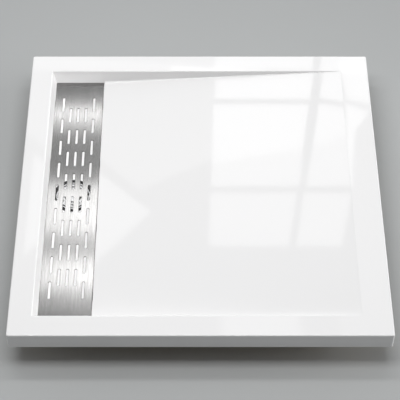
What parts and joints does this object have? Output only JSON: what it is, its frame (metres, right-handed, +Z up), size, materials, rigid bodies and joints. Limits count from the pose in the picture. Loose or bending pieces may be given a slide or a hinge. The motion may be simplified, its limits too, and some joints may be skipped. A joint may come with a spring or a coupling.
{
  "type": "shower tray",
  "caption": "Square low shower tray whose floor falls to a channel with a slotted steel grate, with a flat trap, a swivelling outlet and a rail stand on screw feet.",
  "frame": {"origin": "on the floor, under the middle of the square tray", "axes": "+Z up; the grate's channel lies towards -X and runs along Y; the pictured near side faces -Y"},
  "size_m": [0.9, 0.9, 0.11],
  "materials": {
    "white_acrylic": "high-gloss white acrylic",
    "filled_resin": "cast filled resin, rough",
    "particle_board": "moisture-resistant particle board",
    "grate_steel": "stainless steel brushed along its length",
    "drain_chrome": "polished",
    "screw_steel": "zinc-plated",
    "zinc_steel": "galvanised sheet",
    "black_rubber": "matt",
    "trap_plastic": "moulded polypropylene",
    "outlet_plastic": "moulded grey pipe",
    "foot_plastic": "moulded, fine grain"
  },
  "bodies": {
    "tray": {"tray_shell": "white_acrylic", "resin_core": "filled_resin", "base_board": "particle_board", "waste_flange": "drain_chrome", "flange_gasket": "black_rubber", "trap_gasket": "black_rubber", "flange_screws": "screw_steel", "trap_lid": "trap_plastic", "trap_cup": "trap_plastic", "trap_lid_ring": "black_rubber", "trap_lid_screws": "screw_steel", "outlet_seal": "black_rubber", "rail_screws": "screw_steel", "rail_front": "zinc_steel", "rail_back": "zinc_steel", "foot_nuts": "screw_steel", "lock_nuts": "screw_steel"},
    "grate": {"grate_cover": "grate_steel", "grate_pads": "black_rubber"},
    "strainer": {"hair_strainer": "drain_chrome"},
    "dip_tube_insert": {"dip_tube": "trap_plastic", "dip_tube_ring": "black_rubber"},
    "outlet_pipe": {"outlet_spigot": "outlet_plastic"},
    "hand_nut": {"outlet_nut": "trap_plastic"},
    "foot_1": {"foot_rod_1": "screw_steel", "foot_pad_1": "foot_plastic"},
    "foot_2": {"foot_rod_2": "screw_steel", "foot_pad_2": "foot_plastic"},
    "foot_3": {"foot_rod_3": "screw_steel", "foot_pad_3": "foot_plastic"},
    "foot_4": {"foot_rod_4": "screw_steel", "foot_pad_4": "foot_plastic"},
    "foot_5": {"foot_rod_5": "screw_steel", "foot_pad_5": "foot_plastic"},
    "foot_6": {"foot_rod_6": "screw_steel", "foot_pad_6": "foot_plastic"}
  },
  "joints": [
    {"name": "grate_lift", "type": "slide", "parent": "tray", "child": "grate", "axis": [0, 0, 1], "range_m": [0, 0.15]},
    {"name": "strainer_lift", "type": "slide", "parent": "tray", "child": "strainer", "axis": [0, 0, 1], "range_m": [0, 0.1125]},
    {"name": "dip_tube_lift", "type": "slide", "parent": "tray", "child": "dip_tube_insert", "axis": [0, 0, 1], "range_m": [0, 0.075]},
    {"name": "outlet_swing", "type": "hinge", "parent": "tray", "child": "outlet_pipe", "pos_m": [-0.2148, 0, 0.033], "axis": [0, 0, 1], "range_deg": [-10, 10]},
    {"name": "hand_nut_turn", "type": "hinge", "parent": "tray", "child": "hand_nut", "pos_m": [-0.2148, 0, 0.033], "axis": [1, 0, 0], "continuous": true},
    {"name": "foot_1_height", "type": "slide", "parent": "tray", "child": "foot_1", "axis": [0, 0, -1], "range_m": [0, 0.025]},
    {"name": "foot_2_height", "type": "slide", "parent": "tray", "child": "foot_2", "axis": [0, 0, -1], "range_m": [0, 0.025]},
    {"name": "foot_3_height", "type": "slide", "parent": "tray", "child": "foot_3", "axis": [0, 0, -1], "range_m": [0, 0.025]},
    {"name": "foot_4_height", "type": "slide", "parent": "tray", "child": "foot_4", "axis": [0, 0, -1], "range_m": [0, 0.025]},
    {"name": "foot_5_height", "type": "slide", "parent": "tray", "child": "foot_5", "axis": [0, 0, -1], "range_m": [0, 0.025]},
    {"name": "foot_6_height", "type": "slide", "parent": "tray", "child": "foot_6", "axis": [0, 0, -1], "range_m": [0, 0.025]}
  ],
  "couplings": [
    {"joint": "strainer_lift", "follows": "grate_lift", "ratio": 0.75},
    {"joint": "dip_tube_lift", "follows": "grate_lift", "ratio": 0.5}
  ]
}
